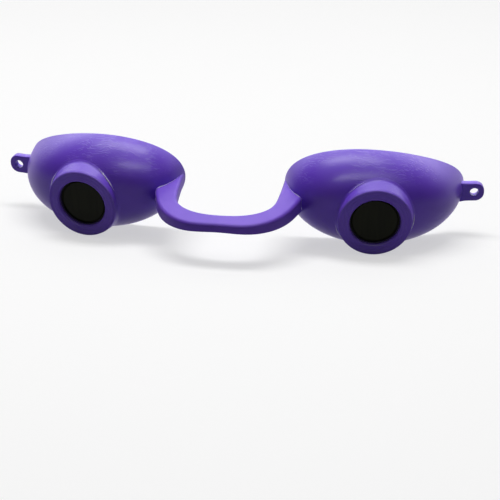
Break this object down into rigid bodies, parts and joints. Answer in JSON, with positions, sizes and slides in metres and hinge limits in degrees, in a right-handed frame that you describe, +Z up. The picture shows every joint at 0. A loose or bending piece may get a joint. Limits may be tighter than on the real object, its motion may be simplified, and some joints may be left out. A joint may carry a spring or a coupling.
{
  "type": "tanning goggles",
  "caption": "Tanning goggles with domed eyecups, dark round lenses in short flared barrels, a springy nose bridge and temple lugs for a strap.",
  "frame": {"origin": "middle of the bounding box's underside, where the goggles rest on a table on their rings and cup bellies", "axes": "+X to the wearer's left, -Y forwards out of the lenses, +Z up; barrels lean down 11.8 degrees from level and splay 9.7 degrees outwards"},
  "size_m": [0.1214, 0.0392, 0.0244],
  "materials": {
    "cup_plastic": "satin purple soft plastic",
    "lens_plastic": "very dark olive, smooth"
  },
  "bodies": {
    "bridge": {"nose_bridge": "cup_plastic"},
    "left_eye": {"left_bridge_arm": "cup_plastic", "left_eyecup": "cup_plastic", "left_lens_barrel": "cup_plastic", "left_lens": "lens_plastic", "left_strap_lug": "cup_plastic"},
    "right_eye": {"right_bridge_arm": "cup_plastic", "right_eyecup": "cup_plastic", "right_lens_barrel": "cup_plastic", "right_lens": "lens_plastic", "right_strap_lug": "cup_plastic"}
  },
  "joints": [
    {"name": "left_wrap", "type": "hinge", "parent": "bridge", "child": "left_eye", "pos_m": [0.01121, -0.01358, 0.00957], "axis": [0, -0.2044, 0.9789], "range_deg": [-20, 25], "stiffness_Nm_per_rad": 0.1},
    {"name": "right_wrap", "type": "hinge", "parent": "bridge", "child": "right_eye", "pos_m": [-0.01121, -0.01358, 0.00957], "axis": [0, 0.2044, -0.9789], "range_deg": [-20, 25], "stiffness_Nm_per_rad": 0.1}
  ]
}
